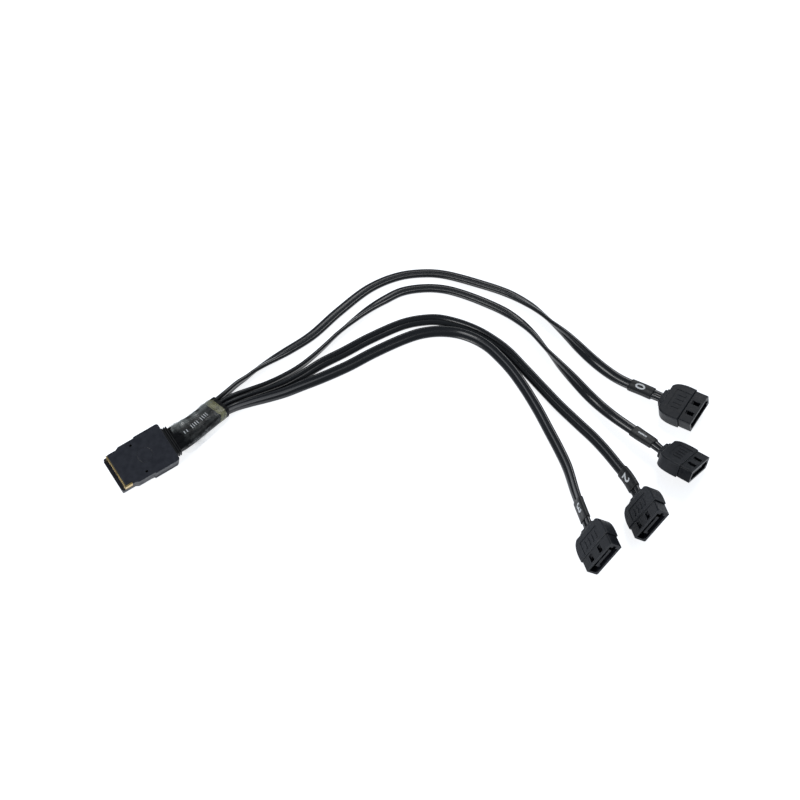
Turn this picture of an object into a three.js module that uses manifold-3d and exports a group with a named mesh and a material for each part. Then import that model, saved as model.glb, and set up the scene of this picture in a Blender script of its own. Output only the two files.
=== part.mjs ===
// Mini SAS breakout cable: one flat 36-way plug, a clear-sleeved bundle and four flat twin
// ribbons that fan out to four numbered drive connectors. Millimetres, +X right, +Y away
// from the viewer, +Z up, and everything lies on the plane z = 0.
import * as THREE from "three";
import { mergeVertices } from "three/addons/utils/BufferGeometryUtils.js";
import Module from "manifold-3d";

const wasm = await Module();
wasm.setup();

// Clearances
const fitGap = 0.3; // between parts that meet face to face
const slotGap = 0.1; // round a small metal part in its slot

// Wide plug, measured in its own frame: x out of the nose, y to the near side, z up
const plugLength = 28.4;
const plugBodyWidth = 20.4;
const plugNoseWidth = 17.8;
const plugHeight = 8.6;
const plugNoseLength = 15.2;
const plugTipLength = 5.4;
const jawReach = 1.2; // the lower shell runs on past the shield
const plugShoulder = 0.5; // the first step in from the body to the nose
const noseUndercut = 0.9; // how much higher the underside of the nose lies
const plugWall = 1.3;
const plugCorner = 1.2;
const partingHeight = 0.4; // the seam between the shells, above mid height
const shieldWall = 0.35;
const shieldShow = 0.6; // bare metal in front of the upper shell
const shieldLength = 11;
const sideWindowLength = 3.4; // bare metal in the near side of the upper shell
const cardThickness = 1;
const cardRecess = 2.6; // from the mouth to the edge of the card
const cardLength = 19;
const padCount = 18;
const padMargin = 0.2; // from the outer pads to the sides of the card
const padLength = 2.6;
const padWidth = 0.5;
const padSetback = 0.4; // from the edge of the card
const padRaise = 0.08;
const pottingLength = 5.4;
const shellEdge = 0.4; // softened edges of the shells
const snapWindowLength = 1.3;
const snapWindowWidth = 0.9;
const snapBehindFront = 12.3;
const snapFromMiddle = 7.2;
const ledgeHeight = 1; // the ledge low along each side of the lower shell
const ledgeOut = 0.2;
const neckLength = 2.5;
const neckWidth = 15;
const neckHeight = 6.6;
const neckRibDepth = 0.5;
const neckChamfer = 1.4;
const bundleBehind = 17; // from the origin of the plug back to the start of the bundle

// Bundle and its clear sleeve
const wrapWidth = 11.4;
const wrapHeight = 6.2;
const wrapShow = 1.9; // wrap seen past the end of the sleeve
const sleeveWall = 0.45;
const sleeveFlap = 2.4;
const sleeveFlapThickness = 0.7;
const sleeveFlare = 1.12; // width at the plug against the width at the fan
const sleeveStart = 0.6; // from the neck of the plug
const wrapCorner = 2.4;
const sleeveCorner = 3;

// Flat twin ribbon
const ribbonWidth = 5.6;
const ribbonThickness = 2.1;
const ribbonGroove = 0.4;
const labelWall = 0.25;
const labelGap = 0.3;
const labelLength = 12.5;
const labelSetback = 4.2; // from the collar of the connector
const stepWidths = 2.2; // length of one step of a ribbon, in ribbon widths
const labelSteps = 3;

// Drive connector, measured in its own frame: x out of the mouth, y left, z up
const bootLength = 11.6;
const bootFrontWidth = 19.9;
const bootBulge = 0.25; // fullness of the sides past the front width
const bootRearWidth = 14.6;
const bootHeight = 7.1;
const bootEdge = 0.45;
const panelDepth = 0.2;
const panelWidth = 12;
const panelRear = 3.3; // rear edge of the sunk panel, from the rear of the boot
const panelFront = 0.5;
const collarLength = 2.1;
const collarWidth = 8.4;
const collarHeight = 4.8;
const collarChamfer = 0.9;
const ringLength = 0.9; // the thicker ring where the collar meets the boot
const mouthLength = 6.4;
const mouthWidth = 18.4;
const mouthHeight = 6.5;
const mouthWall = 1;
const mouthChamfer = 0.7;
const mouthFloor = 1.2; // from the boot to the floor of the mouth
const keyDepth = 1.1; // steps at the left end of the mouth
const keyHeight = 0.8;
const tailLength = 5;
const tailInset = 1.1; // wall of the boot round the tail of the housing
const windowLength = 4.1;
const windowWidth = 2.2;
const windowRamp = 0.45; // the little ramp at the boot end of each window
const windowSides = [2.5, -3.6];
const tongueMargin = 0.35; // from the outer contacts to the hook and to the edge
const tongueThickness = 1.2;
const tongueReach = 4.3;
const tongueHook = 1.2;
const tongueLift = -0.2;
const tongueMiddle = -0.2; // to the right of the middle of the mouth
const contactCount = 7;
const contactPitch = 1.27;
const contactWidth = 0.8;
const contactThickness = 0.2;
const contactSeat = 0.9;

// Where the rigid ends lie: place on the table, then heading, pitch and roll in degrees
const plugPlace = { x: -124.7, y: 8.6, heading: 214.8, pitch: -4, roll: -21 };
const connectorPlaces = [
  { x: 131, y: 39.2, heading: -34.7, pitch: 6.6, roll: 8 },
  { x: 127.3, y: 6.2, heading: -37, pitch: 2, roll: -21.6 },
  { x: 105.6, y: -25.9, heading: -78.8, pitch: 12, roll: 55 },
  { x: 82.8, y: -43.2, heading: -75.8, pitch: 10.5, roll: 53.5 },
];

// Routes chosen by hand: x, y, z and the twist of the flat side in degrees
const sleeveRoute = [
  [-110.4, 18.5, 8.6, 21],
  [-106.7, 21.1, 8.9, 19],
  [-101, 27.7, 7.7, 14],
  [-96, 34.4, 6.2, 7],
  [-91.9, 39.8, 5, 2],
  [-90.5, 41.3, 4.7, 0],
];
const ribbonRoutes = [
  [
    [-93.3, 43.8, 4.7, 90],
    [-88.9, 49.2, 4.4, 96],
    [-84, 55.8, 3.7, 104],
    [-79.7, 60.5, 3, 114],
    [-76.2, 64.5, 2.7, 121],
    [-71.4, 69.1, 2.4, 138],
    [-66.3, 73.6, 1.9, 155],
    [-60.8, 78.1, 1.6, 168],
    [-49.4, 87.9, 1.4, 172],
    [-35.9, 104, 1.4, 172],
    [-20.2, 120, 1.4, 172],
    [-5.9, 127.7, 1.4, 172],
    [7.1, 129.8, 1.4, 172],
    [16.9, 128.9, 1.4, 172],
    [35.1, 122.5, 1.4, 172],
    [49.1, 115.9, 1.6, 168],
    [59.7, 107.8, 2.1, 150],
    [65.4, 101.6, 2.5, 130],
    [70.4, 95.1, 2.8, 116],
    [76.3, 87.9, 2.9, 85],
    [82.1, 80.3, 2.6, 55],
    [87.9, 73, 2.2, 35],
    [94, 66.3, 1.9, 20],
    [99.9, 60.9, 1.9, 11],
    [105.7, 56.7, 2.3, 8],
    [111, 53.1, 3.1, 8],
    [116.1, 49.5, 3.8, 8],
    [119.3, 47.3, 4.2, 8],
  ],
  [
    [-91.5, 42.1, 4.7, 90],
    [-88.3, 45.1, 4.5, 91],
    [-83.7, 48.3, 4, 92],
    [-77.4, 51.9, 3.3, 95],
    [-69.5, 56.1, 2.9, 98],
    [-61.5, 61.1, 2.9, 100],
    [-54.5, 66.7, 2.9, 104],
    [-47.8, 73.8, 2.9, 108],
    [-42.2, 80.7, 2.8, 112],
    [-37.2, 87.2, 2.8, 117],
    [-32.1, 93.1, 2.7, 124],
    [-21.8, 104.2, 2.1, 150],
    [-13.4, 111.4, 1.6, 168],
    [-4.4, 117.3, 1.4, 172],
    [7, 119.6, 1.4, 172],
    [16.7, 118.9, 1.4, 172],
    [26.3, 115.6, 1.4, 172],
    [38.4, 109.4, 1.4, 172],
    [47.6, 103.3, 1.6, 168],
    [54.7, 96.4, 2, 152],
    [60.3, 89, 2.5, 134],
    [67.1, 77.2, 2.8, 116],
    [72.2, 68.9, 2.9, 85],
    [78, 60.2, 2.9, 58],
    [85, 49.8, 2.9, 32],
    [90.3, 42.8, 3.1, 14],
    [95.9, 35.5, 4.4, 5],
    [103, 28.1, 5.2, 1],
    [107.6, 23.3, 5.8, -3],
    [112.4, 18.6, 6.3, -10],
    [115.8, 14.8, 6.4, -20],
  ],
  [
    [-89.6, 40.4, 4.7, 90],
    [-87.1, 42.5, 4.5, 90],
    [-83.2, 45.2, 4, 90],
    [-77.3, 48.5, 3.3, 88],
    [-69.3, 52.2, 2.9, 82],
    [-61.3, 56, 2.9, 76],
    [-53.8, 61.1, 2.8, 66],
    [-43.4, 69.7, 2.5, 50],
    [-32.8, 76.9, 2.3, 40],
    [-20.2, 85.7, 2.3, 37],
    [-3.2, 95.2, 2.3, 37],
    [6.5, 97.6, 2.3, 37],
    [13.6, 97.8, 2.3, 38],
    [23.1, 95.1, 2.3, 40],
    [32.4, 90.3, 2.4, 43],
    [39.9, 84.5, 2.5, 46],
    [47.1, 77.3, 2.5, 48],
    [55, 66.2, 2.5, 48],
    [62.9, 54.7, 2.5, 48],
    [70.6, 43.7, 2.5, 48],
    [79, 32.7, 2.7, 49],
    [85.9, 23.7, 3, 50],
    [91, 15.4, 3.7, 53],
    [95.8, 6.3, 4.6, 55],
    [99.3, -1.1, 6, 55],
    [101.7, -8.2, 7.2, 55],
    [102.9, -12.1, 7.6, 55],
  ],
  [
    [-87.8, 38.7, 4.7, 90],
    [-85.7, 40.2, 4.5, 90],
    [-82.6, 42.3, 3.9, 89],
    [-76.4, 45.2, 3.3, 84],
    [-68.2, 48.4, 2.9, 76],
    [-60.6, 51.5, 2.8, 68],
    [-53.1, 55.5, 2.7, 58],
    [-43.1, 60.8, 2.5, 47],
    [-30.9, 68, 2.3, 40],
    [-18.2, 76.7, 2.3, 37],
    [-3.2, 85.5, 2.3, 37],
    [5, 88.9, 2.3, 37],
    [13.5, 90.3, 2.3, 38],
    [23, 89.3, 2.3, 40],
    [31.1, 85.7, 2.4, 43],
    [37.8, 80.4, 2.5, 46],
    [43.4, 73.5, 2.5, 47],
    [48.7, 65.6, 2.5, 47],
    [54.2, 55.1, 2.5, 47],
    [60, 41.9, 2.5, 47],
    [65.2, 28.1, 2.5, 47],
    [69.1, 17.3, 2.7, 48],
    [72.2, 6.8, 3.4, 51],
    [74.7, -7.4, 4.6, 61],
    [76.2, -15.8, 5.9, 69],
    [77.9, -23.8, 7.2, 69],
    [79.3, -29.5, 7.7, 58],
  ],
];

const up = new THREE.Vector3(0, 0, 1);

// A curve through the route, with the twist carried along it
class Route {
  constructor(points) {
    this.curve = new THREE.CatmullRomCurve3(
      points.map(([x, y, z]) => new THREE.Vector3(x, y, z)),
      false,
      "centripetal",
    );
    this.curve.arcLengthDivisions = 600;
    this.twists = points.map((point) => THREE.MathUtils.degToRad(point[3]));
    this.length = this.curve.getLength();
  }

  twistAt(share) {
    const place = this.curve.getUtoTmapping(share) * (this.twists.length - 1);
    const before = Math.min(Math.floor(place), this.twists.length - 2);
    return THREE.MathUtils.lerp(this.twists[before], this.twists[before + 1], place - before);
  }

  // Place at a distance along the route, a across the flat side and b over it
  place(distance, a, b) {
    const share = THREE.MathUtils.clamp(distance / this.length, 0, 1);
    const along = this.curve.getTangentAt(share);
    const side = new THREE.Vector3().crossVectors(up, along).normalize();
    const over = new THREE.Vector3().crossVectors(along, side);
    const twist = this.twistAt(share);
    const across = side.clone().multiplyScalar(Math.cos(twist)).addScaledVector(over, Math.sin(twist));
    const above = over.multiplyScalar(Math.cos(twist)).addScaledVector(side, -Math.sin(twist));
    return this.curve.getPointAt(share).addScaledVector(across, a).addScaledVector(above, b);
  }
}

// A straight extrusion laid along a route from one distance to another
function sweep(shape, route, from, to, steps, widthAt = () => 1) {
  const straight = new THREE.ExtrudeGeometry(shape, {
    depth: 1,
    steps,
    bevelEnabled: false,
    curveSegments: 3,
  });
  const position = straight.getAttribute("position");
  for (let i = 0; i < position.count; i++) {
    const share = position.getZ(i);
    const distance = THREE.MathUtils.lerp(from, to, share);
    const a = position.getX(i) * widthAt(share);
    const point = route.place(distance, a, position.getY(i));
    position.setXYZ(i, point.x, point.y, point.z);
  }
  return straight;
}

// Closed geometry to a solid and back
function solid(geometry) {
  const bare = geometry.clone();
  bare.deleteAttribute("normal");
  bare.deleteAttribute("uv");
  const merged = mergeVertices(bare, 1e-4);
  return new wasm.Manifold(
    new wasm.Mesh({
      numProp: 3,
      vertProperties: merged.getAttribute("position").array,
      triVerts: new Uint32Array(merged.index.array),
    }),
  );
}

function geometryOf(made) {
  const mesh = made.getMesh();
  const geometry = new THREE.BufferGeometry();
  geometry.setAttribute("position", new THREE.BufferAttribute(mesh.vertProperties, 3));
  geometry.setIndex(new THREE.BufferAttribute(mesh.triVerts, 1));
  const flat = geometry.toNonIndexed();
  flat.computeVertexNormals();
  return flat;
}

function block(x0, x1, y0, y1, z0, z1) {
  const box = new THREE.BoxGeometry(x1 - x0, y1 - y0, z1 - z0);
  box.translate((x0 + x1) / 2, (y0 + y1) / 2, (z0 + z1) / 2);
  return solid(box);
}

function outline(points) {
  return new THREE.Shape(points.map(([x, y]) => new THREE.Vector2(x, y)));
}

// A plan outline with softened edges, from one height to another
function slab(plan, z0, z1, edge) {
  const shape = new THREE.ExtrudeGeometry(plan, {
    depth: z1 - z0 - 2 * edge,
    bevelEnabled: edge > 0,
    bevelSize: edge,
    bevelOffset: -edge,
    bevelThickness: edge,
    bevelSegments: 2,
    curveSegments: 5,
  });
  shape.translate(0, 0, z0 + edge);
  return solid(shape);
}

// A cross section in y and z pushed along x
function bar(section, x0, x1) {
  const pushed = { depth: x1 - x0, bevelEnabled: false, curveSegments: 4 };
  const shape = new THREE.ExtrudeGeometry(section, pushed);
  const axes = new THREE.Matrix4().set(0, 0, 1, x0, 1, 0, 0, 0, 0, 1, 0, 0, 0, 0, 0, 1);
  shape.applyMatrix4(axes);
  return solid(shape);
}

function chamfered(width, height, cut) {
  const w = width / 2;
  const h = height / 2;
  return outline([
    [-w + cut, -h],
    [w - cut, -h],
    [w, -h + cut],
    [w, h - cut],
    [w - cut, h],
    [-w + cut, h],
    [-w, h - cut],
    [-w, -h + cut],
  ]);
}

function rounded(width, height, radius) {
  const shape = new THREE.Shape();
  const w = width / 2;
  const h = height / 2;
  shape.moveTo(-w + radius, -h);
  shape.lineTo(w - radius, -h);
  shape.absarc(w - radius, -h + radius, radius, -Math.PI / 2, 0, false);
  shape.lineTo(w, h - radius);
  shape.absarc(w - radius, h - radius, radius, 0, Math.PI / 2, false);
  shape.lineTo(-w + radius, h);
  shape.absarc(-w + radius, h - radius, radius, Math.PI / 2, Math.PI, false);
  shape.lineTo(-w, -h + radius);
  shape.absarc(-w + radius, -h + radius, radius, Math.PI, (3 * Math.PI) / 2, false);
  return shape;
}

const finishes = {
  plugPlastic: { color: 0x2b2c33, roughness: 0.62, metalness: 0 },
  bootPlastic: { color: 0x2e3134, roughness: 0.58, metalness: 0 },
  housingPlastic: { color: 0x2a2c33, roughness: 0.5, metalness: 0 },
  cablePlastic: { color: 0x1c1d1f, roughness: 0.42, metalness: 0 },
  labelPlastic: { color: 0x19191b, roughness: 0.5, metalness: 0 },
  clearSleeve: { color: 0xd9d9d2, roughness: 0.15, metalness: 0, transparent: true, opacity: 0.35 },
  goldShield: { color: 0xcdb477, roughness: 0.35, metalness: 1 },
  goldContact: { color: 0xd4b25e, roughness: 0.3, metalness: 1 },
  cardGreen: { color: 0x1f3d2a, roughness: 0.5, metalness: 0 },
  pottingResin: { color: 0x33312c, roughness: 0.4, metalness: 0 },
};

function piece(name, geometry, finish) {
  const mesh = new THREE.Mesh(geometry, new THREE.MeshStandardMaterial(finishes[finish]));
  mesh.name = name;
  return mesh;
}

function laid(group, place) {
  const rad = THREE.MathUtils.degToRad;
  group.rotation.set(rad(place.roll), rad(-place.pitch), rad(place.heading), "ZYX");
  group.position.set(place.x, place.y, 0);
  group.updateMatrixWorld(true);
  group.position.z -= new THREE.Box3().setFromObject(group, true).min.z;
  return group;
}

// Wide plug

const plugRear = -bundleBehind + neckLength + fitGap;
const plugFront = plugRear + plugLength;
const shellFront = plugFront - shieldShow;
const noseRear = plugFront - plugNoseLength;
const tipRear = plugFront - plugTipLength;
const mouthInsideWidth = plugNoseWidth - 2 * plugWall;
const plugTop = plugHeight / 2;
const noseBottom = -plugTop + noseUndercut;
const mouthTop = plugTop - plugWall;
const mouthBottom = noseBottom + plugWall;
const cavityRear = plugRear + plugWall;
const cavityHalf = plugBodyWidth / 2 - plugWall;
const past = plugBodyWidth; // past every side of the plug

function plugPlan(front) {
  const body = plugBodyWidth / 2;
  const nose = body - plugShoulder;
  const tip = plugNoseWidth / 2;
  const plan = new THREE.Shape();
  plan.moveTo(plugRear + plugCorner, -body);
  plan.lineTo(noseRear, -body);
  plan.lineTo(noseRear + plugShoulder, -nose);
  plan.lineTo(tipRear - 2 * plugShoulder, -nose);
  plan.lineTo(tipRear, -tip);
  plan.lineTo(front, -tip);
  plan.lineTo(front, tip);
  plan.lineTo(tipRear, tip);
  plan.lineTo(tipRear - 2 * plugShoulder, nose);
  plan.lineTo(noseRear + plugShoulder, nose);
  plan.lineTo(noseRear, body);
  plan.lineTo(plugRear + plugCorner, body);
  plan.absarc(plugRear + plugCorner, body - plugCorner, plugCorner, Math.PI / 2, Math.PI, false);
  plan.absarc(plugRear + plugCorner, -body + plugCorner, plugCorner, Math.PI, (3 * Math.PI) / 2, false);
  return plan;
}

// Room inside the shells: the mouth with its shield, the card and the resin behind it
function plugRoom() {
  const shieldRear = plugFront - shieldLength;
  const side = mouthInsideWidth / 2 + fitGap;
  const low = mouthBottom - fitGap;
  const end = plugFront + jawReach + 1;
  const front = block(shieldRear - fitGap, end, -side, side, low, mouthTop + fitGap);
  const rear = block(cavityRear, shieldRear, -cavityHalf, cavityHalf, mouthBottom, mouthTop);
  const entrySide = wrapWidth / 2;
  const entry = block(plugRear - 1, cavityRear + 1, -entrySide, entrySide, mouthBottom, mouthTop);
  return front.add(rear).add(entry);
}

function upperShell() {
  const seam = partingHeight + fitGap / 4;
  let shell = slab(plugPlan(shellFront), -plugTop, plugTop, shellEdge);
  shell = shell.subtract(block(plugRear - 1, plugFront + 1, -past, past, -past, seam));
  shell = shell.subtract(plugRoom());
  const x0 = plugFront - snapBehindFront - snapWindowLength / 2;
  const x1 = x0 + snapWindowLength;
  for (const y of [-snapFromMiddle, snapFromMiddle]) {
    const w = snapWindowWidth / 2;
    shell = shell.subtract(block(x0, x1, y - w, y + w, mouthTop - 1, plugTop + 1));
  }
  const bareRear = shellFront - sideWindowLength;
  const bareSide = mouthInsideWidth / 2 + fitGap;
  return shell.subtract(block(bareRear, plugFront, bareSide, past, -past, past));
}

function lowerShell() {
  const seam = partingHeight - fitGap / 4;
  const jawFront = plugFront + jawReach;
  let shell = slab(plugPlan(jawFront), -plugTop, plugTop, shellEdge);
  const ledgeSide = plugBodyWidth / 2 + ledgeOut;
  const ledgeLow = -plugTop + 2 * shellEdge;
  shell = shell.add(
    block(plugRear + plugCorner, noseRear, -ledgeSide, ledgeSide, ledgeLow, ledgeLow + ledgeHeight),
  );
  shell = shell.subtract(block(plugRear - 1, jawFront + 1, -past, past, seam, past));
  const undercutRear = noseRear + plugCorner;
  shell = shell.subtract(block(undercutRear, jawFront + 1, -past, past, -past, noseBottom));
  return shell.subtract(plugRoom());
}

// A bent sheet, open below
function plugShield() {
  const rear = plugFront - shieldLength;
  const outer = mouthInsideWidth / 2 + fitGap / 2;
  const top = mouthTop + fitGap / 2;
  const bottom = mouthBottom - fitGap / 2;
  const w = shieldWall;
  const shell = block(rear, plugFront, -outer, outer, bottom, top);
  const bore = block(rear - 1, plugFront + 1, -outer + w, outer - w, bottom - 1, top - w);
  // A lip turned up over the front of the upper shell
  const edge = plugNoseWidth / 2 - slotGap;
  const lipRear = shellFront + slotGap;
  const lipTop = plugTop - slotGap;
  const lip = block(lipRear, plugFront, -edge, edge, lipTop - w, lipTop);
  const farWeb = block(lipRear, plugFront, -edge, -outer + w, top - w, lipTop);
  // A cheek folded out through the open side of the upper shell
  const cheekRear = shellFront - sideWindowLength + slotGap;
  const low = partingHeight + fitGap;
  const web = block(cheekRear, plugFront, outer - w, edge, low, top);
  const cheek = block(cheekRear, plugFront, outer + fitGap, edge, low, lipTop);
  return shell.subtract(bore).add(lip).add(farWeb).add(web).add(cheek);
}

const cardMiddle = (mouthTop + mouthBottom) / 2;
const cardFront = plugFront - cardRecess;
const cardHalf = mouthInsideWidth / 2 - shieldWall - fitGap;

function paddleCard() {
  const low = cardMiddle - cardThickness / 2;
  const high = cardMiddle + cardThickness / 2;
  let card = block(cardFront - cardLength, cardFront, -cardHalf, cardHalf, low, high);
  const w = padWidth / 2;
  const outerPad = cardHalf - padMargin - w;
  for (let i = 0; i < padCount; i++) {
    const y = THREE.MathUtils.lerp(-outerPad, outerPad, i / (padCount - 1));
    const x1 = cardFront - padSetback;
    card = card.add(block(x1 - padLength, x1, y - w, y + w, low - padRaise, high + padRaise));
  }
  return card;
}

function wirePotting() {
  const rear = cavityRear + fitGap;
  const behindCard = cardFront - cardLength - slotGap;
  const top = mouthTop - fitGap;
  const side = cavityHalf - 1;
  const resin = block(rear, behindCard, -side, side, mouthBottom + fitGap, top);
  const low = cardMiddle + cardThickness / 2 + slotGap;
  const overSide = cardHalf - 1;
  const over = block(behindCard - 0.5, rear + pottingLength, -overSide, overSide, low, top);
  return resin.add(over);
}

function plugNeck() {
  const front = plugRear - fitGap;
  const rear = front - neckLength;
  const coreWidth = neckWidth - 2 * neckRibDepth;
  const coreHeight = neckHeight - 2 * neckRibDepth;
  let neck = bar(chamfered(neckWidth, neckHeight, neckChamfer), rear, front);
  for (const share of [0.3, 0.75]) {
    const x = THREE.MathUtils.lerp(rear, front, share);
    const ring = bar(chamfered(neckWidth + 2, neckHeight + 2, neckChamfer), x - 0.3, x + 0.3);
    const core = bar(chamfered(coreWidth, coreHeight, neckChamfer - 0.2), x - 1, x + 1);
    neck = neck.subtract(ring.subtract(core));
  }
  return neck;
}

const plug = new THREE.Group();
plug.add(piece("plug_upper_shell", geometryOf(upperShell()), "plugPlastic"));
plug.add(piece("plug_lower_shell", geometryOf(lowerShell()), "plugPlastic"));
plug.add(piece("plug_shield", geometryOf(plugShield()), "goldShield"));
plug.add(piece("paddle_card", geometryOf(paddleCard()), "cardGreen"));
plug.add(piece("wire_potting", geometryOf(wirePotting()), "pottingResin"));
plug.add(piece("plug_neck", geometryOf(plugNeck()), "cablePlastic"));
laid(plug, plugPlace);

// Bundle and sleeve

const bundle = new THREE.Group();
const bundleRoute = new Route(sleeveRoute);
const wrapEnd = bundleRoute.length;
const sleeveEnd = wrapEnd - wrapShow;
const flare = (share) => THREE.MathUtils.lerp(sleeveFlare, 1, Math.min(share * 2, 1));

bundle.add(
  piece(
    "bundle_wrap",
    sweep(rounded(wrapWidth, wrapHeight, wrapCorner), bundleRoute, 0, wrapEnd, 8, flare),
    "cablePlastic",
  ),
);

function sleeveSection() {
  const inside = rounded(wrapWidth + 2 * fitGap, wrapHeight + 2 * fitGap, wrapCorner + 0.2);
  const w = wrapWidth / 2 + fitGap + sleeveWall;
  const h = wrapHeight / 2 + fitGap + sleeveWall;
  const r = sleeveCorner;
  const fin = sleeveFlapThickness / 2;
  const section = new THREE.Shape();
  section.moveTo(-w - sleeveFlap, -fin);
  section.lineTo(-w, -fin * 1.6);
  section.lineTo(-w, -h + r);
  section.absarc(-w + r, -h + r, r, Math.PI, (3 * Math.PI) / 2, false);
  section.lineTo(w - r, -h);
  section.absarc(w - r, -h + r, r, -Math.PI / 2, 0, false);
  section.absarc(w - r, h - r, r, 0, Math.PI / 2, false);
  section.lineTo(-w + r, h);
  section.absarc(-w + r, h - r, r, Math.PI / 2, Math.PI, false);
  section.lineTo(-w, fin * 1.6);
  section.lineTo(-w - sleeveFlap, fin);
  section.holes.push(inside);
  return section;
}

bundle.add(
  piece(
    "clear_sleeve",
    sweep(sleeveSection(), bundleRoute, sleeveStart, sleeveEnd, 8, flare),
    "clearSleeve",
  ),
);

// Ribbons and their number sleeves

// Half of the section from one edge to the other, the two cores with the groove between
const lobe = ribbonWidth / 4;
const flat = ribbonThickness / 2;
const ribbonHalf = [
  [-2 * lobe, flat * 0.45],
  [-1.6 * lobe, flat],
  [-0.5 * lobe, flat],
  [0, flat - ribbonGroove],
  [0.5 * lobe, flat],
  [1.6 * lobe, flat],
  [2 * lobe, flat * 0.45],
];
const ribbonSection = outline([
  ...ribbonHalf.map(([x, y]) => [x, -y]),
  ...ribbonHalf.toReversed(),
]);

function labelSection() {
  const inside = chamfered(ribbonWidth + 2 * labelGap, ribbonThickness + 2 * labelGap, 0.5);
  const section = chamfered(
    ribbonWidth + 2 * (labelGap + labelWall),
    ribbonThickness + 2 * (labelGap + labelWall),
    0.6,
  );
  section.holes.push(inside);
  return section;
}

const cords = new THREE.Group();
ribbonRoutes.forEach((points, i) => {
  const route = new Route(points);
  const labelTo = route.length - labelSetback;
  const steps = Math.round(route.length / (stepWidths * ribbonWidth));
  const ribbon = sweep(ribbonSection, route, 2 * fitGap, route.length, steps);
  const label = sweep(labelSection(), route, labelTo - labelLength, labelTo, labelSteps);
  cords.add(piece(`ribbon_${i}`, ribbon, "cablePlastic"));
  cords.add(piece(`label_${i}`, label, "labelPlastic"));
});

// Drive connectors

function bootPlan() {
  const front = bootFrontWidth / 2;
  const rear = bootRearWidth / 2;
  const full = front + 2 * bootBulge;
  const turnX = -bootLength * 0.72; // where the side turns in
  const turnY = front - 0.4;
  const cornerX = -bootLength * 0.9;
  const cornerY = front - 1.1;
  const plan = new THREE.Shape();
  plan.moveTo(0, -front);
  plan.lineTo(0, front);
  plan.quadraticCurveTo(-bootLength * 0.45, full, turnX, turnY);
  plan.quadraticCurveTo(cornerX, cornerY, -bootLength, rear);
  plan.lineTo(-bootLength, -rear);
  plan.quadraticCurveTo(cornerX, -cornerY, turnX, -turnY);
  plan.quadraticCurveTo(-bootLength * 0.45, -full, 0, -front);
  return plan;
}

const tailHalfWidth = mouthWidth / 2 - tailInset;
const tailHalfHeight = mouthHeight / 2 - tailInset;

function boot() {
  const top = bootHeight / 2;
  let body = slab(bootPlan(), -top, top, bootEdge);
  const collarFront = -bootLength + 1;
  const collarSection = chamfered(collarWidth, collarHeight, collarChamfer);
  const collar = bar(collarSection, -bootLength - collarLength, collarFront);
  const ringSection = chamfered(collarWidth + 1.2, collarHeight + 1, collarChamfer);
  const ring = bar(ringSection, -bootLength - ringLength, collarFront);
  body = body.add(collar).add(ring);
  const panelX = -bootLength + panelRear;
  const panelSide = panelWidth / 2;
  body = body.subtract(block(panelX, -panelFront, -panelSide, panelSide, top - panelDepth, top + 1));
  const side = tailHalfWidth + fitGap / 2;
  const high = tailHalfHeight + fitGap / 2;
  return body.subtract(block(-tailLength - fitGap, 1, -side, side, -high, high));
}

// The mouth is keyed: its left end is cut in steps
function mouthSection() {
  const w = mouthWidth / 2 - mouthWall;
  const h = mouthHeight / 2 - mouthWall;
  const step = w - keyDepth;
  return outline([
    [-w + keyDepth, -h],
    [step, -h],
    [step, -keyHeight],
    [w, -keyHeight],
    [w, keyHeight],
    [step, keyHeight],
    [step, h],
    [-w, h],
    [-w, -h + keyDepth],
  ]);
}

const contactSpan = (contactCount - 1) * contactPitch;
const tongueWidth = tongueThickness + contactSpan + contactWidth + 2 * tongueMargin;
const contactFirst = tongueMiddle + (tongueThickness - contactSpan) / 2; // clear of the hook
const tongueLow = tongueLift - tongueThickness / 2;

function housing() {
  let body = bar(chamfered(mouthWidth, mouthHeight, mouthChamfer), fitGap / 2, mouthLength);
  body = body.add(block(-tailLength, 1, -tailHalfWidth, tailHalfWidth, -tailHalfHeight, tailHalfHeight));
  body = body.subtract(bar(mouthSection(), mouthFloor, mouthLength + 1));
  const roof = mouthHeight / 2;
  const rampLow = roof - mouthWall - 0.6;
  for (const side of windowSides) {
    const y0 = side - windowWidth / 2;
    const y1 = side + windowWidth / 2;
    body = body.subtract(block(mouthFloor, mouthFloor + windowLength, y0, y1, rampLow, roof + 1));
    const ramp = outline([
      [mouthFloor - slotGap, rampLow],
      [mouthFloor + windowRamp, rampLow],
      [mouthFloor - slotGap, roof - 2 * slotGap],
    ]);
    const rampShape = { depth: windowWidth - 2 * slotGap, bevelEnabled: false };
    const wedge = new THREE.ExtrudeGeometry(ramp, rampShape);
    wedge.rotateX(Math.PI / 2);
    wedge.translate(0, y1 - slotGap, 0);
    body = body.add(solid(wedge));
  }
  const left = tongueMiddle - tongueWidth / 2;
  const right = tongueMiddle + tongueWidth / 2;
  const tongueRear = mouthFloor - 0.5;
  const tip = mouthFloor + tongueReach;
  const tongueTop = tongueLow + tongueThickness;
  const hookLow = tongueLow - tongueHook;
  body = body.add(block(tongueRear, tip, left, right, tongueLow, tongueTop));
  body = body.add(block(tongueRear, tip, left, left + tongueThickness, hookLow, tongueTop));
  const seat = mouthFloor - contactSeat - slotGap;
  const w = contactWidth / 2 + slotGap;
  const low = tongueLow - contactThickness - 2 * slotGap;
  for (let i = 0; i < contactCount; i++) {
    const y = contactFirst + i * contactPitch;
    body = body.subtract(block(seat, mouthFloor + 0.5, y - w, y + w, low, tongueLow));
  }
  return body;
}

function contact(i) {
  const y = contactFirst + i * contactPitch;
  const w = contactWidth / 2;
  const top = tongueLow - slotGap;
  const x0 = mouthFloor - contactSeat;
  const x1 = mouthFloor + tongueReach - 0.5;
  return block(x0, x1, y - w, y + w, top - contactThickness, top);
}

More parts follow.
